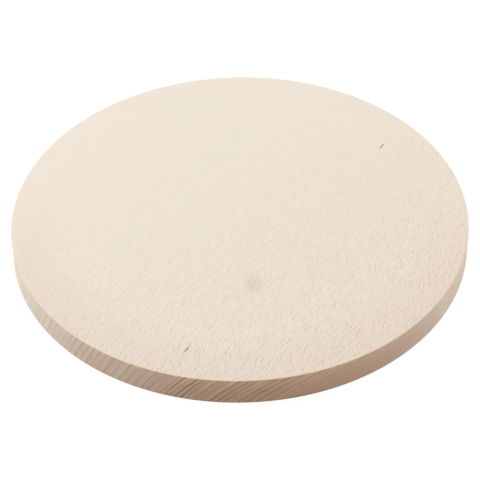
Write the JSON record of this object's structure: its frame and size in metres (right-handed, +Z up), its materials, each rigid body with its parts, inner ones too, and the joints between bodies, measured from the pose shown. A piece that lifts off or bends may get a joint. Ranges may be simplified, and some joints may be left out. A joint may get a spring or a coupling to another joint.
{
  "type": "round chopping board",
  "caption": "Round, flat wooden board for chopping and serving food, with a straight rim and slightly eased edges.",
  "frame": {"origin": "centre of the underside, on the surface that the board lies on", "axes": "+Z up through the board's thickness, out of the work face; +X to the right and +Y away from the viewer of the picture"},
  "size_m": [0.25, 0.25, 0.016],
  "materials": {
    "board_wood": "sanded smooth, pale and matt, with no varnish; the rim is darker because it shows end grain"
  },
  "bodies": {
    "root": {"board": "board_wood"}
  },
  "joints": []
}
